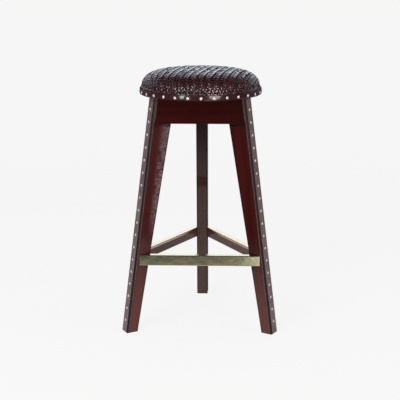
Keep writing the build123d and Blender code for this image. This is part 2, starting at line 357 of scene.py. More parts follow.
def on_seat(u, v, lift, outline, turn):
    """Points of the flat plait laid on the seat, lifted along its normal."""
    walked, radius, height, out, up = outline
    distance = np.hypot(u, v)
    direction = np.arctan2(v, u) + turn
    r = np.interp(distance, walked, radius) + lift * np.interp(distance, walked, out)
    z = np.interp(distance, walked, height) + lift * np.interp(distance, walked, up)
    return np.stack([r * np.cos(direction), r * np.sin(direction), z], axis=-1)


weave_inset = 0.0019
strip_end_height = seat_underside + 0.006
weave_outline = seat_outline(weave_inset)
weave_reach = float(np.interp(-strip_end_height, -weave_outline[2], weave_outline[0]))
print("walked length from the middle to under the band:", round(weave_reach, 4))

# %% [markdown]
# ## Plaiting the seat
#
# Two sets of leather strips cross at right angles. Each strip goes over two strips and under two,
# and its neighbour does the same one strip later, which gives the diagonal lines on the top of the
# seat; the finish darkens these lines and the strips' edges with painted shade. A strip's height is
# a wave along its length, flattened where it lies over or under. The two sets use the same wave
# with opposite signs, so they never meet. Small wobbles of height, roll and width make it look cut
# and plaited by hand.

# %% The plait's sizes
strip_pitch = 0.00725
strip_width_share = 0.97
strip_thickness = 0.0011
strip_wave = 0.0014
tucked_wave = 0.0007
tuck_height = 0.006
wave_sharpness = 2.5
weave_turn = radians(34.5)
steps_per_crossing = 4
rim_gap_share = 0.6
strips_each_side = int(weave_reach / strip_pitch - rim_gap_share)
strip_wobble = 0.0004
wobble_waves = (0.021, 0.031, 0.053)
strip_roll = 0.25
roll_waves = (0.029, 0.041, 0.067)
width_wobble_share = 0.04
width_waves = (0.05, 0.11)
leather_spread = 7
# Where the rows' lines lie: the finish dulls the leather there and paints shade.
dull_shaded_row_phase = radians(-50)
row_fade_low = 0.024
row_fade_high = 0.010
side_row_share = 0.66
strip_section_shares = [
    (-0.50, 0.00), (-0.43, 0.33), (-0.25, 0.50), (0.25, 0.50),
    (0.43, 0.33), (0.50, 0.00), (0.46, -0.50), (-0.46, -0.50),
]
print("strips each way:", 2 * strips_each_side)


# %% The form of one strip
def wobble(distance, waves, random):
    """A smooth random curve between about -1 and 1: a sum of sines of random phase."""
    phases = random.uniform(0, 2 * pi, len(waves))
    total = sum(np.sin(2 * pi * distance / wave + phase) for wave, phase in zip(waves, phases))
    return total / len(waves)


def plait_strip(centre, crossways, random):
    """One strip of the plait as (points, faces, along, across, tone, raised, row).

    The last two are waves along the strip: raised is 1 where the strip lies on top and -1 where it
    dips under, and row is 1 at the line where a new diagonal row of crossings begins, where the
    finish dulls the leather and paints shade. That line is plain on top of the seat and is lost on
    its side.
    """
    half = np.sqrt(weave_reach**2 - centre**2)
    rings = int(2 * half / strip_pitch * steps_per_crossing) + 3
    s = np.linspace(-half, half, rings)
    u, v = (-centre, s) if crossways else (s, centre)
    phase = pi / 2 * ((u - v) / strip_pitch - 0.5)
    flattened = np.tanh(wave_sharpness * np.cos(phase)) / np.tanh(wave_sharpness)
    level = np.interp(np.hypot(s, centre), weave_outline[0], weave_outline[2])
    free = np.clip((level - band_high.z) / tuck_height, 0, 1)
    size = tucked_wave + (strip_wave - tucked_wave) * free * free * (3 - 2 * free)
    height = (-1 if crossways else 1) * size * flattened
    height = height + strip_wobble * wobble(s, wobble_waves, random)
    roll = strip_roll * wobble(s, roll_waves, random)
    width = strip_pitch * strip_width_share
    width = width * (1 + width_wobble_share * wobble(s, width_waves, random))
    side, rise = np.array(strip_section_shares).T
    q = centre + width[:, None] * side[None, :]
    lift = height[:, None] + strip_thickness * rise[None, :]
    lift = lift + roll[:, None] * (q - centre)
    along = np.repeat(s[:, None], len(side), axis=1)
    u, v = (-q, along) if crossways else (along, q)
    points = on_seat(u, v, lift, weave_outline, weave_turn)
    across = np.repeat(side[None, :] + 0.5, rings, axis=0)
    tone = np.full(along.shape, random.uniform(0, 1))
    raised = np.repeat((-1 if crossways else 1) * flattened[:, None], len(side), axis=1)
    on_top = np.clip((level - seat_top + row_fade_low) / (row_fade_low - row_fade_high), 0, 1)
    row = np.cos(phase - dull_shaded_row_phase) * (side_row_share + (1 - side_row_share) * on_top)
    row = np.repeat(row[:, None], len(side), axis=1)
    faces = grid_faces(rings, len(side))
    along = along + centre * leather_spread
    return points.reshape(-1, 3), faces, along, across, tone, raised, row


# %% The plait's leather and its two sets of strips
def plait(name, crossways, material, seed):
    """All the strips that run one way, as one piece."""
    random = np.random.default_rng(seed)
    centres = (np.arange(-strips_each_side, strips_each_side) + 0.5) * strip_pitch
    strips = [plait_strip(centre, crossways, random) for centre in centres]
    points, faces = join_grids([strip[:2] for strip in strips])
    along, across, tone, raised, row = (
        np.concatenate([strip[i].ravel() for strip in strips]) for i in (2, 3, 4, 5, 6)
    )
    stored = {"tone": tone, "raised": raised, "row": row}
    piece = make_piece(name, points, faces, material, along, across, stored)
    return piece


def plaited_leather():
    """Polished oxblood leather strips, dull at their edges and where each row begins, with painted
    shade there.
    """
    finish = Finish("plaited oxblood leather")
    edge = finish.ramp(finish.from_middle(), 0.34, 0.5)
    grain = finish.noise(finish.place, 900, 4)
    patches = finish.noise(finish.place, 60, 2)
    leather = finish.mixed(finish.stored("tone"), (0.040, 0.007, 0.010, 1), (0.065, 0.012, 0.015, 1))
    leather = finish.mixed(finish.ramp(patches, 0.35, 0.7), leather, (0.035, 0.007, 0.009, 1))
    # Painted shade: the strips' edges and the rows' lines turn near black, where gaps and risers would
    # lie in shadow.
    dull_shaded_row = finish.ramp(finish.stored("row"), 0.5, 0.85)
    dark = finish.maths("MAXIMUM", edge, dull_shaded_row)
    finish.set(Base_Color=finish.mixed(dark, leather, (0.010, 0.003, 0.004, 1)))
    raised = finish.ramp(finish.stored("raised"), -0.2, 0.7)
    polish = finish.product(raised, finish.ramp(edge, 1.0, 0.2), finish.ramp(dull_shaded_row, 1.0, 0.0))
    finish.set(Roughness=finish.ramp(polish, 0.0, 1.0, 0.6, 0.22))
    finish.bumps(grain, 0.0001, 0.3)
    finish.set(Specular_IOR_Level=finish.product(polish, 0.6))
    return finish.set(Coat_Weight=polish, Coat_Roughness=0.07)


woven_material = plaited_leather()
strips_along = plait("seat_strips_along", False, woven_material, 3)
plait("seat_strips_across", True, woven_material, 4)
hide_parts("woven_cover")

# %% [markdown]
# ## The cushion under the plait
#
# A foam pad wrapped in dark cotton fills the plait. Almost nothing shows of it but the dark in the
# small gaps. It starts as the seat's own outline, set in by the thickness of the plait and a little
# more, and closed by a flat underside. Then it is blown up like a bag of cloth for a few frames,
# which rounds and tightens it. No point may move far, so it stays under the plait and on its board.

# %% The cushion's first shape
cushion_inset = 0.0059
cushion_around = 180
cushion_rings = 60
underside_rings = 10
cushion_seat = board_top + soft_gap


def cushion_points():
    """Rings of the cushion from the middle of its top to the middle of its underside."""
    walked, radius, height, out, up = seat_outline(cushion_inset)
    end = float(np.interp(-cushion_seat, -height, walked))
    walk = np.linspace(0, end, cushion_rings)[1:]
    r, z = np.interp(walk, walked, radius), np.interp(walk, walked, height)
    inward = np.linspace(1, 0, underside_rings + 2)[1:-1] * r[-1]
    r = np.concatenate([r, inward])[:, None]
    z = np.concatenate([z, np.full(underside_rings, cushion_seat)])[:, None]
    angle = np.linspace(0, 2 * pi, cushion_around, endpoint=False)
    return np.stack([r * np.cos(angle), r * np.sin(angle), z.repeat(len(angle), 1)], axis=-1)


def dark_cotton():
    """Plain dark cotton wadding cloth."""
    finish = Finish("dark cotton wrap")
    threads = finish.noise(finish.place, 1500, 2)
    finish.set(Base_Color=finish.mixed(threads, (0.012, 0.005, 0.006, 1), (0.03, 0.013, 0.014, 1)))
    finish.bumps(threads, 0.0002, 0.5)
    return finish.set(Roughness=0.95, Specular_IOR_Level=0.1)


# %% Blow the cushion up as cloth
cushion_voxel = 0.005
cushion_pressure = 4.0
cushion_frames = 20
cushion_swell = 0.001


def vertex_places(mesh):
    """The points of a mesh as an array."""
    places = np.zeros(3 * len(mesh.vertices), np.float32)
    mesh.vertices.foreach_get("co", places)
    return places.reshape(-1, 3)


def evaluated(piece):
    """A mesh of its own for what a piece's modifiers make of it."""
    graph = bpy.context.evaluated_depsgraph_get()
    return bpy.data.meshes.new_from_object(piece.evaluated_get(graph))


def blown_up(points, faces):
    """A closed grid remeshed evenly and swollen as cloth, as (points, faces)."""
    mesh = bpy.data.meshes.new("bag")
    mesh.from_pydata(points.reshape(-1, 3).tolist(), [], faces.tolist())
    bag = bpy.data.objects.new("bag", mesh)
    scene.collection.objects.link(bag)
    remesh = bag.modifiers.new("even", "REMESH")
    remesh.mode = "VOXEL"
    remesh.voxel_size = cushion_voxel
    even = evaluated(bag)
    bag.modifiers.remove(remesh)
    bag.data = even
    first = vertex_places(even)
    corners = np.zeros(len(even.loops), np.int32)
    even.loops.foreach_get("vertex_index", corners)
    last = first
    cloth = bag.modifiers.new("cloth", "CLOTH")
    cloth.settings.use_pressure = True
    cloth.settings.uniform_pressure_force = cushion_pressure
    cloth.settings.effector_weights.gravity = 0
    cloth.point_cache.frame_end = cushion_frames
    for frame in range(1, cushion_frames + 1):
        scene.frame_set(frame)
    last = vertex_places(evaluated(bag))
    scene.frame_set(1)
    bpy.data.objects.remove(bag)
    move = last - first
    length = np.linalg.norm(move, axis=1, keepdims=True)
    print("largest move before the cap, mm:", round(1000 * float(length.max()), 2))
    last = first + move * np.minimum(1, cushion_swell / np.maximum(length, cushion_swell))
    last[:, 2] = np.maximum(last[:, 2], cushion_seat)
    return last, corners.reshape(-1, 4)


cushion_grid = cushion_points()
cushion = make_piece(
    "seat_cushion", *blown_up(cushion_grid, grid_faces(len(cushion_grid), cushion_around)),
    dark_cotton(),
)
rounding = cushion.modifiers.new("rounding", "SUBSURF")
rounding.levels = rounding.render_levels = 1
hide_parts("seat_foam")

# %% [markdown]
# ## The leather band
#
# A band of plain leather is nailed over the ends of the strips. Each nail pulls it tight, and
# between two nails it stands out a little like a shallow pillow, which is what makes the light on
# it change from nail to nail.

# %% Make the band
band_inner = skirt_radius + soft_gap
band_thickness = band_high.x - band_inner
band_pillow = 0.0007
nail_pull = 0.0048
steps_per_nail = 24
band_rows = 14
band_edge_power = 9
pillow_power = 0.7


def near_nail(across, along):
    """1 at a nail, falling to 0 away from it as a bell curve."""
    return np.exp(-(across**2 + along**2) / (2 * nail_pull**2))


def band_points():
    """Rings of the band's section, going round the seat.

    The section runs up the inner face and down the outer one. Its thickness is
    T (1 - |2h - 1|^n)^(1/2) at a share h of the height, which rounds both edges. The outer face
    stands out by the pillow times one minus the nearness of a nail.
    """
    angle = np.linspace(0, 2 * pi, seat_nail_count * steps_per_nail, endpoint=False)[:, None]
    share = (1 - np.cos(np.linspace(0, pi, band_rows))) / 2
    height = band_low.z + (band_high.z - band_low.z) * share[None, :]
    nail_angle = 2 * pi / seat_nail_count
    offset = (angle - seat_nail_direction + nail_angle / 2) % nail_angle - nail_angle / 2
    nearness = near_nail(offset * band_high.x, height - seat_nail_height)
    body = np.clip(1 - np.abs(2 * share - 1) ** band_edge_power, 0, 1) ** 0.5
    pillow = band_pillow * (1 - nearness) * np.sin(pi * share) ** pillow_power
    outer = band_inner + band_thickness * body + pillow
    inner = np.full_like(outer, band_inner)
    radius = np.concatenate([inner[:, 1:-1], outer[:, ::-1]], axis=1)
    z = np.concatenate([height[:, 1:-1], height[:, ::-1]], axis=1)
    z = np.repeat(z, len(angle), axis=0)
    points = np.stack([radius * np.cos(angle), radius * np.sin(angle), z], axis=-1)
    along = np.repeat(angle * band_high.x, radius.shape[1], axis=1)
    across = np.concatenate([share[1:-1], share[::-1]])[None, :].repeat(len(angle), axis=0)
    return points, along, across


def band_leather():
    """Plain glossy oxblood leather with a fine grain, dull along its two cut edges."""
    finish = Finish("oxblood band leather")
    polish = finish.ramp(finish.from_middle(), 0.46, 0.38)
    grain = finish.node("ShaderNodeTexVoronoi", {"Vector": finish.place, "Scale": 1100})
    clouds = finish.noise(finish.place, 45, 3)
    colour = finish.mixed(
        finish.ramp(clouds, 0.35, 0.7), (0.050, 0.008, 0.012, 1), (0.030, 0.006, 0.009, 1)
    )
    finish.set(Base_Color=colour, Roughness=finish.ramp(clouds, 0.3, 0.7, 0.2, 0.3))
    finish.bumps(grain.outputs["Distance"], 0.0001, 0.25)
    finish.set(Specular_IOR_Level=finish.product(polish, 0.4))
    return finish.set(Coat_Weight=polish, Coat_Roughness=0.08)


points, along, across = band_points()
band = make_piece(
    "seat_band", points, grid_faces(points.shape[0], points.shape[1], closed=True),
    band_leather(), along, across,
)
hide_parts("seat_binding")

# %% [markdown]
# ## Leather edging on the legs
#
# Each leg has a strip of leather over its outer edge, turned a few millimetres round both corners
# and nailed down the middle. Beside the apron it is turned further round, and a groove shows inside
# its cut edge. The finish paints shade at its bends and in that groove. It is made the same way as
# the band: a U-shaped section carried up the leg, pulled in at the nails, with cut edges that waver
# a little.

# %% Make the edging
corner_round = 0.0025
corner_columns = 6
front_columns = 11
lip_reaches = np.array([0.0034, 0.0048, 0.0054, 0.0057, 0.0059, 0.0060])
lip_reaches_at_top = np.array([0.0034, 0.0050, 0.0059, 0.0067, 0.0073, 0.0085])
lip_shade_shares = np.array([0.30, 0.30, 1.00, 1.00, 0.20, 0.20])
lip_groove_shares = np.array([0.0, 0.0, 0.3, 0.3, 0.0, 0.0])
lip_widens = 0.020
lip_waver_share = 0.08
lip_waves = (0.021, 0.055, 0.13)
edging_pillow = 0.00035
steps_per_leg_nail = 12
edging_rings = (leg_nail_count + 1) * steps_per_leg_nail + 1


def edging_section():
    """The U section as (out, side, shade, lip), with how many points are outer ones.

    The outer path is a lip, a quarter round, the face, a quarter round and the other lip. The inner
    path goes back over the wood, whose own corners have a smaller round about the same centres. A
    point's lip is its number on the lip, or -1, and its shade, the amount of painted shade, is 0 on
    the face, 1 at the bends.
    """
    half, thick = leg_half_thickness, edging_thickness
    turn = np.linspace(0, pi / 2, corner_columns)
    face = np.linspace(corner_round - half, half - corner_round, front_columns)[1:-1]
    lip_count = len(lip_reaches)

    def path(offset):
        """From lip to lip at an offset from the wood."""
        radius = corner_round + offset
        lip_side = half + offset - lip_groove_shares * offset
        corner_out = radius * np.sin(turn) - corner_round
        corner_side = half - corner_round + radius * np.cos(turn)
        flat = np.full(len(face), offset)
        out = [-lip_reaches[::-1], corner_out, flat, corner_out[::-1], -lip_reaches]
        side = [-lip_side[::-1], -corner_side, face, corner_side[::-1], lip_side]
        return np.concatenate(out), np.concatenate(side)

    ends, bends = np.arange(lip_count), np.full(corner_columns, -1)
    lip = np.concatenate([ends[::-1], bends, np.full(len(face), -1), bends, ends])
    shade = np.concatenate([
        lip_shade_shares[::-1], np.ones(corner_columns), (face / half) ** 4,
        np.ones(corner_columns), lip_shade_shares,
    ])
    out, side = path(thick)
    inner_out, inner_side = path(0)
    return (
        np.append(out, inner_out[::-1]), np.append(side, inner_side[::-1]),
        np.append(shade, shade[::-1]), np.append(lip, lip[::-1]), len(out),
    )


def leg_edging(name, direction, material, random):
    """The edging of one leg."""
    out, side, shade, lip, outer_count = edging_section()
    z = np.linspace(edging_foot, seat_underside, edging_rings)[:, None]
    nail_gap = seat_underside / (leg_nail_count + 1)
    offset = (z + nail_gap / 2) % nail_gap - nail_gap / 2
    nearness = near_nail(side[None, :], offset)
    on_face = (np.arange(len(out)) < outer_count) * (out > 0)
    flatness = np.clip(1 - (side / leg_half_thickness) ** 4, 0, 1) * on_face
    widened = np.clip((z - apron_low.z) / lip_widens, 0, 1)
    waver = 1 + lip_waver_share * wobble(z, lip_waves, random)
    lip_out = lip_reaches[lip] + (lip_reaches_at_top - lip_reaches)[lip] * widened
    out = np.where(lip >= 0, -lip_out * waver, out + edging_pillow * (1 - nearness) * flatness)
    reach = foot_radius - z * leg_slope + out * (1 + leg_slope**2) ** 0.5
    a = radians(direction)
    side = np.repeat(side[None, :], len(z), axis=0)
    z = np.repeat(z, side.shape[1], axis=1)
    points = np.stack([
        reach * cos(a) - side * sin(a), reach * sin(a) + side * cos(a), z
    ], axis=-1)
    across = 0.5 + side / (2 * (leg_half_thickness + edging_thickness))
    piece = make_piece(
        name, points, grid_faces(*side.shape)[:, ::-1], material, z, across,
        {"bent": np.repeat(shade[None, :], len(z), axis=0)},
    )
    return piece


def edging_leather():
    """Satin grey-brown leather with a purplish cast, with painted shade at the bends and in the
    groove.
    """
    finish = Finish("grey brown edging leather")
    corner = finish.ramp(finish.stored("bent"), 0.15, 0.75)
    grain = finish.node("ShaderNodeTexVoronoi", {"Vector": finish.place, "Scale": 900})
    clouds = finish.noise(finish.place, 35, 4)
    colour = finish.mixed(
        finish.ramp(clouds, 0.3, 0.7), (0.186, 0.122, 0.120, 1), (0.142, 0.084, 0.083, 1)
    )
    # Painted shade: near black at the bends and in the groove.
    colour = finish.mixed(corner, colour, (0.020, 0.008, 0.009, 1))
    finish.set(Base_Color=colour, Roughness=finish.ramp(clouds, 0.3, 0.7, 0.32, 0.48))
    finish.bumps(grain.outputs["Distance"], 0.00015, 0.4)
    return finish.set(Specular_IOR_Level=finish.ramp(corner, 0.0, 1.0, 0.5, 0.25))


edging_material = edging_leather()
edging_random = np.random.default_rng(11)
for name, direction in leg_directions.items():
    edging = leg_edging("edging_" + name, direction, edging_material, edging_random)
    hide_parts("leg_leather_" + name)

# %% [markdown]
# ## Wood
#
# The legs, aprons and rails are mahogany under clear lacquer. Grain is noise that is stretched a
# long way along the board, so each board gets its coordinates turned until one axis runs along it:
# about Z by the board's direction and, for a leg, about Y by its lean.

# %% Lacquered wood
pore_share = 0.55


def lacquered_wood(name, direction, lean, dark, light, gloss, light_and_shade=None):
    """Mahogany with the grain along one board, under lacquer; the last argument, if given, paints
    light and shade into its colour.
    """
    finish = Finish(name)
    facing = finish.turned(finish.place, (0, 0, -radians(direction)))
    coarse = (45, 45, 2.2) if lean else (45, 2.2, 45)
    fine = (600, 600, 14) if lean else (600, 14, 600)
    bands = finish.noise(finish.turned(facing, (0, lean, 0), coarse), 1.0, 5, 0.6)
    pores = finish.noise(finish.turned(facing, (0, lean, 0), fine), 1.0, 3, 0.5)
    colour = finish.mixed(finish.ramp(bands, 0.32, 0.68), dark + (1,), light + (1,))
    # The last argument paints light and shade into the wood's colour.
    if light_and_shade:
        colour = light_and_shade(finish, facing, colour)
    darker = tuple(pore_share * part for part in dark) + (1,)
    colour = finish.mixed(finish.ramp(pores, 0.56, 0.72, 0, pore_share), colour, darker)
    finish.set(Base_Color=colour, Roughness=0.5, Specular_IOR_Level=0.0)
    finish.bumps(pores, 0.0001, 0.15)
    return finish.set(Coat_Weight=gloss, Coat_Roughness=0.08)


# %% [markdown]
# ## Painted light and shade on the boards
#
# Light and shade are painted into the boards' colour. Painted shade darkens the legs' inner corners,
# the legs just below the aprons and the aprons' lower edges. Painted light makes the front legs paler
# towards the foot and the rear one lighter towards its foot, and a streaked painted sheen lies on one
# side of the left leg. Each is a colour mixed in by the place on the board: out from the stool's
# axis, across its thickness and up from the floor.

# %% The places and colours of the painted light and shade
line_full = 0.0016
line_clear = 0.0042
apron_shade_share = 0.55
apron_shade_full = 0.002
apron_shade_clear = 0.014
bottom_line_full = 0.0020
bottom_line_clear = 0.0045
foot_light_top = 0.27
foot_light_low = 0.02
rear_light_top = 0.60
rear_light_low = 0.15
sheen_clear = 0.024
sheen_full = 0.048
sheen_side = 0.01
sheen_heights = (0.27, 0.36, 0.60, 0.66)
sheen_slant = radians(40)
# Painted shade: the colour of the legs' inner corners, the legs just below the aprons and the aprons'
# lower edges.
painted_shade_wood = (0.008, 0.003, 0.003, 1)
# Painted light: the front legs' colour towards the foot.
foot_light_wood = (0.125, 0.030, 0.025, 1)
# Painted light: the rear leg's colour towards its foot.
rear_low_light_wood = (0.088, 0.038, 0.028, 1)
# Painted sheen: the streaked pale colour on one side of the left leg.
painted_sheen_wood = (0.26, 0.185, 0.20, 1)
# The heights between which the painted sheen lies on the left leg.
print("the bloom lies between these heights:", sheen_heights[0], sheen_heights[-1])


# %% The kinds of painted light and shade
def corner_and_apron_shade(finish, facing, colour):
    """The colour of a leg with painted shade along its inner corners and a painted shadow below the
    apron.
    """
    radius, across, height = finish.parts(facing)
    lean = (top_inner_radius - foot_inner_radius) / seat_underside
    inner = finish.maths("ADD", finish.product(height, lean), foot_inner_radius)
    from_edge = finish.maths("SUBTRACT", radius, inner)
    from_face = finish.maths("SUBTRACT", leg_half_thickness, finish.maths("ABSOLUTE", across))
    from_corner = finish.maths("MAXIMUM", from_edge, from_face)
    line = finish.ramp(from_corner, line_clear, line_full)
    shade = finish.ramp(
        height, apron_low.z - apron_shade_clear, apron_low.z - apron_shade_full, 0.0, apron_shade_share
    )
    return finish.mixed(finish.maths("MAXIMUM", line, shade), colour, painted_shade_wood)


def paler_foot(finish, facing, colour):
    """The colour of a leg with painted light that makes it paler towards its foot."""
    height = finish.parts(facing)[2]
    faded = finish.mixed(finish.ramp(height, foot_light_top, foot_light_low), colour, foot_light_wood)
    return corner_and_apron_shade(finish, facing, faded)


def lit_low_leg(finish, facing, colour):
    """The colour of a leg with painted light that makes it lighter over most of its height, more
    towards its foot.
    """
    height = finish.parts(facing)[2]
    lower_lit = finish.mixed(finish.ramp(height, rear_light_top, rear_light_low), colour, rear_low_light_wood)
    return corner_and_apron_shade(finish, facing, lower_lit)


def sheen_streaked_leg(finish, facing, colour):
    """The colour of a leg with painted light on its foot and a streaked painted sheen on one side, by
    the inner edge.

    Along the board's own radius, height and thickness: the painted sheen starts at the middle of the
    width, lies between two heights, and is broken up by noise stretched along slanting strokes.
    """
    radius, across, height = finish.parts(facing)
    low, full_low, full_high, high = sheen_heights
    outer = finish.maths("SUBTRACT", foot_radius, finish.product(height, leg_slope))
    inwards = finish.ramp(finish.maths("SUBTRACT", outer, radius), sheen_clear, sheen_full)
    above, below = finish.ramp(height, low, full_low), finish.ramp(height, high, full_high)
    place = finish.product(inwards, above, below, finish.ramp(across, 0, sheen_side))
    strokes = finish.noise(finish.turned(facing, (0, sheen_slant, 0), (380, 60, 95)), 1.0, 4, 0.7)
    patches = finish.ramp(finish.noise(facing, 38, 3), 0.25, 0.5)
    broken = finish.product(finish.ramp(strokes, 0.42, 0.57), patches)
    sheened = finish.mixed(finish.product(place, broken), colour, painted_sheen_wood)
    return paler_foot(finish, facing, sheened)


def shaded_bottom_edge(finish, facing, colour):
    """The colour of an apron with painted shade along its bottom edge."""
    height = finish.parts(facing)[2]
    line = finish.ramp(height, apron_low.z + bottom_line_clear, apron_low.z + bottom_line_full)
    return finish.mixed(line, colour, painted_shade_wood)


# %% Dress the legs, aprons and rails
def dress(node, material):
    """Give a node of the frame its finish."""
    piece = frame["nodes"][node]
    piece.data.materials.clear()
    piece.data.materials.append(material)


leg_lean = float(np.arctan(leg_slope))
# The three legs' base colours are lit and shaded copies of one wood: painted light makes the front
# left one lighter and painted shade makes the rear one darker than the front right.
leg_woods = {
    "front_left": ((0.062, 0.0110, 0.0105), (0.088, 0.0180, 0.0165), 1.0, sheen_streaked_leg),
    "front_right": ((0.036, 0.0036, 0.0032), (0.058, 0.0060, 0.0050), 1.0, paler_foot),
    "rear": ((0.018, 0.0035, 0.0045), (0.030, 0.0055, 0.0062), 1.0, lit_low_leg),
}
for name, direction in leg_directions.items():
    wood = lacquered_wood("mahogany leg " + name, direction, leg_lean, *leg_woods[name])
    dress("leg_" + name, wood)
for name, direction in side_directions.items():
    wood = lacquered_wood(
        "mahogany apron " + name, direction, 0,
        (0.030, 0.0025, 0.0020), (0.052, 0.0050, 0.0038), 0.8, shaded_bottom_edge,
    )
    dress("apron_" + name, wood)
    wood = lacquered_wood(
        "mahogany rail " + name, direction, 0,
        (0.075, 0.028, 0.024), (0.120, 0.052, 0.045), 0.8,
    )
    dress("foot_rail_" + name, wood)
print("boards dressed:", len(leg_directions) + 2 * len(side_directions))


# %% Bare wood inside
def bare_wood(name, dark, light, across_scale, along_scale):
    """Unfinished pale wood with the grain along X."""
    finish = Finish(name)
    where = finish.turned(finish.place, (0, 0, 0), (along_scale, across_scale, across_scale))
    bands = finish.noise(where, 1.0, 5, 0.6)
    finish.set(Base_Color=finish.mixed(finish.ramp(bands, 0.3, 0.7), dark, light))
    finish.bumps(bands, 0.0002, 0.3)
    return finish.set(Roughness=0.7)


pine = bare_wood("plain softwood", (0.34, 0.21, 0.12, 1), (0.52, 0.35, 0.21, 1), 120, 6)
dress("seat_board", pine)
for name in side_directions:
    dress("seat_cleat_" + name, pine)
beech = bare_wood("beech dowel", (0.50, 0.36, 0.22, 1), (0.68, 0.52, 0.35, 1), 300, 20)
for node in ("apron_dowels", "foot_rail_dowels"):
    dress(node, beech)
print("wooden nodes dressed")

# %% [markdown]
# ## Metal
#
# The foot rails carry thin brass sheets that were bent by hand, so their faces are a little wavy.
# The front one, where feet rest most, has a faint olive patina, and the two behind it are warmer.
# The nails are pale nickel domes, bright on top, with painted shade round the foot of each dome.
# The hidden screws and pins are plain steel and brass.

# %% Metal finishes
front_brass_end = -0.10
rear_brass_start = -0.05


def brass_sheet():
    """Polished brass with a hand-bent waviness, and an olive patina on the front plate."""
    finish = Finish("brass sheet")
    patina = finish.noise(finish.turned(finish.place, (0, 0, 0), (1, 1, 2)), 28, 5, 0.6)
    waves = finish.noise(finish.turned(finish.place, (0, 0, 0), (1, 1, 1.6)), 34, 2, 0.4)
    scratches = finish.noise(finish.turned(finish.place, (0, 0, 0), (60, 60, 900)), 1.0, 3)
    colour = finish.mixed(
        finish.ramp(patina, 0.35, 0.68), (0.72, 0.65, 0.42, 1), (0.60, 0.59, 0.38, 1)
    )
    behind = finish.ramp(finish.parts(finish.place)[1], front_brass_end, rear_brass_start)
    colour = finish.mixed(behind, colour, (0.74, 0.60, 0.42, 1))
    finish.set(Base_Color=colour, Roughness=finish.ramp(scratches, 0.3, 0.75, 0.13, 0.26))
    finish.bumps(waves, 0.004, 0.12)
    return finish.set(Metallic=1.0)


def plain_metal(name, dark, light, scale, smooth, rough):
    """Metal with soft patches of tarnish."""
    finish = Finish(name)
    patches = finish.noise(finish.place, scale, 4)
    finish.set(Base_Color=finish.mixed(finish.ramp(patches, 0.3, 0.7), light, dark))
    finish.set(Roughness=finish.ramp(patches, 0.3, 0.7, smooth, rough))
    finish.bumps(patches, 0.0001, 0.2)
    return finish.set(Metallic=1.0)


def from_nearest(finish, value, spacing):
    """How far a value is from the nearest whole number of spacings."""
    turns = finish.maths("ADD", finish.maths("DIVIDE", value, spacing), 0.5)
    share = finish.maths("SUBTRACT", finish.maths("FRACT", turns), 0.5)
    return finish.product(share, spacing)


# %% Nail heads
dome_unshaded_radius = 0.0034
dome_dark_radius = 0.0045


def nickel_domes(name, direction):
    """Pale nickel nail heads, with painted shade round the foot of each dome.

    The distance from a nail's own axis comes from where the nails are: for the seat's nails, of no
    direction, at even turns and one height, and for a leg's at even heights in its middle.
    """
    finish = Finish(name)
    if direction is None:
        x, y, z = finish.parts(finish.place)
        turn = finish.maths("SUBTRACT", finish.maths("ARCTAN2", y, x), seat_nail_direction)
        turn = from_nearest(finish, turn, 2 * pi / seat_nail_count)
        aside = finish.product(turn, skirt_radius)
        along = finish.maths("SUBTRACT", z, seat_nail_height)
    else:
        facing = finish.turned(finish.place, (0, 0, -radians(direction)))
        aside, z = finish.parts(facing)[1:3]
        along = from_nearest(finish, z, seat_underside / (leg_nail_count + 1))
    squares = [finish.product(value, value) for value in (aside, along)]
    distance = finish.maths("SQRT", finish.maths("ADD", *squares))
    patches = finish.noise(finish.place, 250, 4)
    metal = finish.mixed(
        finish.ramp(patches, 0.3, 0.7), (0.98, 0.91, 0.89, 1), (0.90, 0.80, 0.78, 1)
    )
    # Painted shade round the foot of each dome.
    rim_shade = finish.ramp(distance, dome_unshaded_radius, dome_dark_radius)
    finish.set(Base_Color=finish.mixed(rim_shade, metal, (0.05, 0.03, 0.03, 1)))
    finish.bumps(patches, 0.0001, 0.2)
    return finish.set(Metallic=0.4, Roughness=finish.ramp(patches, 0.3, 0.7, 0.28, 0.4))


# %% Dress the metal nodes
brass = brass_sheet()
for name in side_directions:
    dress("foot_plate_" + name, brass)
pin_brass = plain_metal("brass pin", (0.45, 0.36, 0.18, 1), (0.62, 0.52, 0.30, 1), 300, 0.25, 0.4)
dress("foot_plate_pins", pin_brass)
dress("seat_nails", nickel_domes("nickel seat nail", None))
for name, direction in leg_directions.items():
    dress("leg_nails_" + name, nickel_domes("nickel leg nail " + name, direction))
steel = plain_metal("zinc steel", (0.42, 0.42, 0.40, 1), (0.62, 0.62, 0.60, 1), 200, 0.3, 0.45)
for node in ("seat_screws", "cleat_screws"):
    dress(node, steel)
print("metal nodes dressed")

# %% [markdown]
# ## The studio
#
# The stool stands on a pale round sheet whose rim fades into an equally pale background. Most of
# the light is soft and comes from all around, with one large lamp from the upper left front and a
# weaker one from the right. Shiny things mirror another studio: bright and slightly blue low behind
# the stool, which silvers the top of the seat, and dim elsewhere, which keeps dark leather and
# lacquer dark. The mirrored floor is bright round the stool's feet and in a pool to the front
# right, which shows in the end of the brass plate. Two tall tinted lamps in front show only in
# shiny things, as pale patches on the band and glints on the plait.

# %% The floor
pale = (0.922, 0.922, 0.922, 1)
mirrored_sky = (0.83, 0.89, 1.0, 1)
floor_radius = 3.0
floor_sides = 96
floor_fade = 1.6
floor_glow_share = 0.88
floor_glow = 1.033
dim_front = 0.07
bright_near = 0.55
near_reach = 0.45
near_end = 1.0
behind_floor = 0.6
behind_start = 0.10
front_start = -0.20
right_pool = 1.1
pool_sides = (0.10, 0.22, 0.50, 0.70)
pool_start = -0.45
pool_full = -0.75


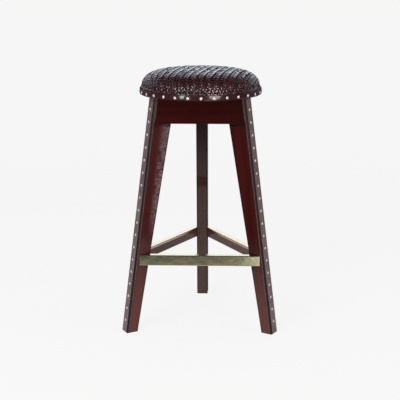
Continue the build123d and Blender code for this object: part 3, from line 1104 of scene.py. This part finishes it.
def floor_material():
    """A pale diffuse floor, partly self-lit for the camera, with its own look in mirrors."""
    material = bpy.data.materials.new("pale floor")
    material.use_nodes = True
    tree = Nodes(material.node_tree)
    tree.tree.nodes.clear()
    place = tree.node("ShaderNodeTexCoord").outputs["Object"]
    split = tree.parts(place)
    path = tree.node("ShaderNodeLightPath").outputs
    lit = tree.node("ShaderNodeBsdfDiffuse", {"Color": pale}).outputs[0]
    glow = tree.node("ShaderNodeEmission", {"Color": pale, "Strength": floor_glow}).outputs[0]
    shown = tree.blended(floor_glow_share, lit, glow)
    seen = tree.blended(path["Is Camera Ray"], lit, shown)
    distance = tree.node("ShaderNodeVectorMath", {0: place}, operation="LENGTH").outputs["Value"]
    near = tree.ramp(distance, near_reach, near_end, bright_near, dim_front)
    left, full_left, full_right, right = pool_sides
    beside = tree.product(
        tree.ramp(split["X"], left, full_left), tree.ramp(split["X"], right, full_right))
    ahead = tree.ramp(split["Y"], pool_start, pool_full, 0, right_pool)
    front = tree.maths("MAXIMUM", near, tree.product(beside, ahead))
    in_front = tree.ramp(split["Y"], behind_start, front_start)
    strength = tree.node("ShaderNodeMix", {0: in_front, 2: behind_floor, 3: front}).outputs[0]
    mirrored = tree.node("ShaderNodeEmission", {"Color": pale, "Strength": strength}).outputs[0]
    seen = tree.blended(path["Is Glossy Ray"], seen, mirrored)
    clear = tree.node("ShaderNodeBsdfTransparent").outputs[0]
    faded = tree.blended(tree.ramp(distance, floor_fade, floor_radius), seen, clear)
    tree.node("ShaderNodeOutputMaterial", {"Surface": faded})
    return material


around = np.linspace(0, 2 * pi, floor_sides, endpoint=False)
rim_points = np.stack([floor_radius * np.cos(around), floor_radius * np.sin(around), 0 * around], 1)
floor_mesh = bpy.data.meshes.new("floor")
floor_mesh.from_pydata(rim_points.tolist(), [], [list(range(len(around)))])
floor_mesh.materials.append(floor_material())
floor = bpy.data.objects.new("floor", floor_mesh)
scene.collection.objects.link(floor)
print("floor radius:", floor_radius)

# %% The light all around
ambient = 0.62
mirrored_back = 1.5
dim_above = 0.09
low_back_share = 0.12
aside_share = 0.45
back_start = -0.2
back_full = 0.5
low_rise = 0.14
high_rise = 0.45
above_rise = 0.52
aside_start = 0.2
aside_full = 0.5


def studio_world():
    """Even light for the object, a pale view for the camera and the studio for mirrors.

    A mirrored ray finds its light by the parts of its direction, as sines of angles. The studio is
    bright behind the stool between about 8 and 27 degrees up, fading lower, higher and to the
    sides, and dim in front.
    """
    world = bpy.data.worlds.new("studio")
    world.use_nodes = True
    tree = Nodes(world.node_tree)
    tree.tree.nodes.clear()
    path = tree.node("ShaderNodeLightPath").outputs
    split = tree.parts(tree.node("ShaderNodeTexCoord").outputs["Generated"])
    behind = tree.ramp(split["Y"], back_start, back_full)
    level = tree.ramp(split["Z"], above_rise, high_rise, dim_above, mirrored_back)
    low = tree.ramp(split["Z"], 0.0, low_rise, low_back_share, 1.0)
    sideways = tree.maths("ABSOLUTE", split["X"])
    aside = tree.ramp(sideways, aside_start, aside_full, 1.0, aside_share)
    back = tree.product(level, low, aside)
    strength = tree.node("ShaderNodeMix", {0: behind, 2: dim_front, 3: back}).outputs[0]
    soft = tree.node("ShaderNodeBackground", {"Color": pale, "Strength": ambient}).outputs[0]
    mirrored = {"Color": mirrored_sky, "Strength": strength}
    studio = tree.node("ShaderNodeBackground", mirrored).outputs[0]
    backdrop = tree.node("ShaderNodeBackground", {"Color": pale}).outputs[0]
    mirrors = tree.maths("MAXIMUM", path["Is Glossy Ray"], path["Is Transmission Ray"])
    seen = tree.blended(mirrors, soft, studio)
    seen = tree.blended(path["Is Camera Ray"], seen, backdrop)
    tree.node("ShaderNodeOutputWorld", {"Surface": seen})
    return world


scene.world = studio_world()
print("soft light from all around:", ambient)


# %% The lamps
def soft_lamp(name, place, aim, width, height, watts, mirrored, colour=(1, 1, 1)):
    """A rectangular area lamp facing a point; a mirrored one shows only in shiny things."""
    lamp = bpy.data.lights.new(name, "AREA")
    lamp.shape = "RECTANGLE"
    lamp.size = width
    lamp.size_y = height
    lamp.energy = watts
    lamp.color = colour
    holder = bpy.data.objects.new(name, lamp)
    scene.collection.objects.link(holder)
    holder.location = place
    holder.visible_glossy = mirrored
    holder.visible_diffuse = not mirrored
    facing = np.array(aim) - np.array(place)
    holder.rotation_euler = (
        float(np.arctan2(np.hypot(facing[0], facing[1]), -facing[2])), 0,
        float(np.arctan2(facing[1], facing[0])) - pi / 2,
    )
    print(name, "of", watts, "watts")


legs_middle = (0, 0, 0.4)
seat_side = (0, 0, 0.7)
cool_tint = (0.86, 1.0, 0.95)
rosy_tint = (1.0, 0.86, 0.90)
soft_lamp("key lamp", (-1.3, -2.2, 2.4), legs_middle, 1.3, 1.3, 42, False)
soft_lamp("side lamp", (2.3, -0.7, 1.6), legs_middle, 1.2, 1.2, 10, False)
soft_lamp("left strip lamp", (-1.25, -2.08, 1.3), seat_side, 0.4, 2.2, 23, True, cool_tint)
soft_lamp("right strip lamp", (1.08, -2.12, 1.2), seat_side, 0.8, 2.0, 25, True, rosy_tint)

# %% [markdown]
# ## Finish
#
# The picture's colours are shown as they are, with no film look.

# %% Finish
scene.view_settings.view_transform = "Standard"
